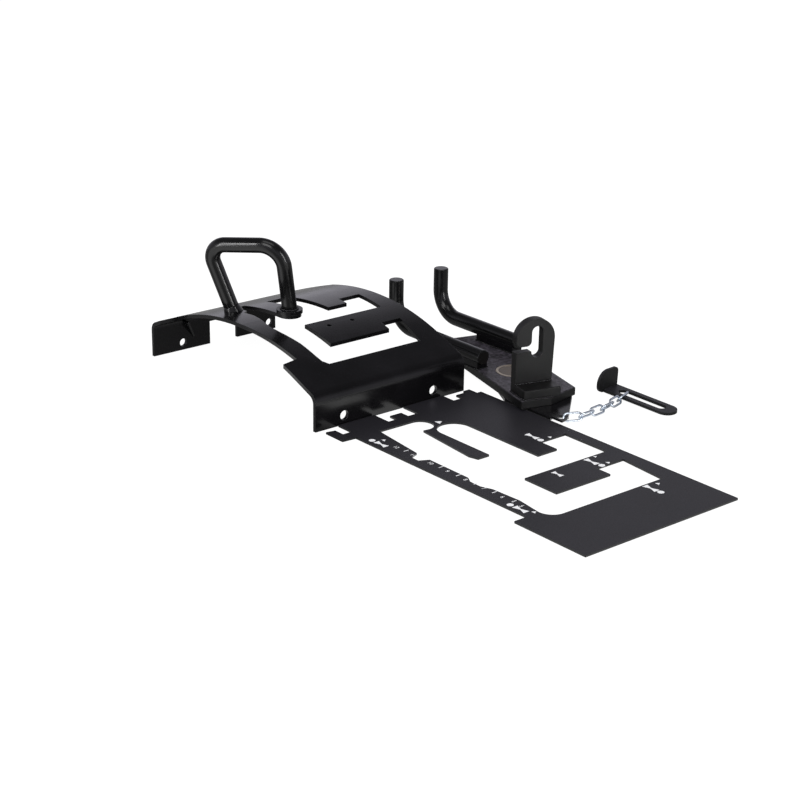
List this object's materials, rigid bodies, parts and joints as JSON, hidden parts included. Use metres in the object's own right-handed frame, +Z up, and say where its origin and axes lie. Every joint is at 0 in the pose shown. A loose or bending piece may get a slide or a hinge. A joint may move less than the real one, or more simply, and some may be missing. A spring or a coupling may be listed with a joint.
{
  "type": "fifth wheel hitch fitting kit",
  "caption": "Trailer hitch fitting kit: arched bracket with bail handle, flat gauge plate, swivel base with hook lug and upturned rods, and a chained slotted keeper.",
  "frame": {"origin": "middle of the kit's footprint, on the surface it lies on", "axes": "+Z up; +X from the arched bracket towards the gauge plate's free front edge; +Y towards the swivel base and the keeper"},
  "size_m": [0.657, 0.3333, 0.1524],
  "materials": {
    "gloss_black": "gloss black powder coat",
    "satin_black": "satin black coat",
    "bronze": "dull bronze",
    "steel": "turned steel",
    "zinc": "bright zinc plate"
  },
  "bodies": {
    "arch_bracket": {"arch_frame": "gloss_black", "bail_handle": "gloss_black", "handle_collar": "gloss_black", "handle_weld": "gloss_black", "flange_gusset": "gloss_black"},
    "gauge": {"gauge_plate": "satin_black"},
    "swivel_base": {"base_plate": "satin_black", "base_rail_left": "gloss_black", "base_rail_right": "gloss_black", "base_rail_rear": "gloss_black", "pivot_bushing": "bronze", "lug_foot": "gloss_black", "hook_lug": "gloss_black", "rod_left": "gloss_black", "rod_right": "gloss_black", "saddle_left": "gloss_black", "saddle_right": "gloss_black"},
    "swing_arm": {"swivel_arm": "gloss_black", "pivot_pin": "steel", "chain_eye": "gloss_black"},
    "link_1": {"chain_link_1": "zinc"},
    "link_2": {"chain_link_2": "zinc"},
    "link_3": {"chain_link_3": "zinc"},
    "link_4": {"chain_link_4": "zinc"},
    "link_5": {"chain_link_5": "zinc"},
    "link_6": {"chain_link_6": "zinc"},
    "keeper_plate": {"keeper": "satin_black"}
  },
  "joints": [
    {"name": "gauge_slide", "type": "slide", "parent": "arch_bracket", "child": "gauge", "axis": [1, 0, 0], "range_m": [0, 0.15]},
    {"name": "base_lift", "type": "slide", "parent": "arch_bracket", "child": "swivel_base", "axis": [0, 0, 1], "range_m": [0, 0.12]},
    {"name": "arm_swing", "type": "hinge", "parent": "swivel_base", "child": "swing_arm", "pos_m": [-0.02414, 0.09043, 0.006], "axis": [0, 0, 1], "range_deg": [0, 20]},
    {"name": "link_1_turn", "type": "hinge", "parent": "swing_arm", "child": "link_1", "pos_m": [0.0915, 0.05315, 0.0044], "axis": [0, 0, 1], "range_deg": [-12, 4]},
    {"name": "link_2_turn", "type": "hinge", "parent": "link_1", "child": "link_2", "pos_m": [0.09833, 0.0685, 0.0044], "axis": [0, 0, 1], "range_deg": [-12, 4]},
    {"name": "link_3_turn", "type": "hinge", "parent": "link_2", "child": "link_3", "pos_m": [0.09775, 0.08529, 0.0044], "axis": [0, 0, 1], "range_deg": [-12, 4]},
    {"name": "link_4_turn", "type": "hinge", "parent": "link_3", "child": "link_4", "pos_m": [0.09599, 0.102, 0.0044], "axis": [0, 0, 1], "range_deg": [-12, 4]},
    {"name": "link_5_turn", "type": "hinge", "parent": "link_4", "child": "link_5", "pos_m": [0.09279, 0.11849, 0.0044], "axis": [0, 0, 1], "range_deg": [-12, 4]},
    {"name": "link_6_turn", "type": "hinge", "parent": "link_5", "child": "link_6", "pos_m": [0.08815, 0.13464, 0.0044], "axis": [0, 0, 1], "range_deg": [-12, 4]},
    {"name": "keeper_turn", "type": "hinge", "parent": "link_6", "child": "keeper_plate", "pos_m": [0.08528, 0.14253, 0.0044], "axis": [0, 0, 1], "range_deg": [-12, 4]}
  ]
}
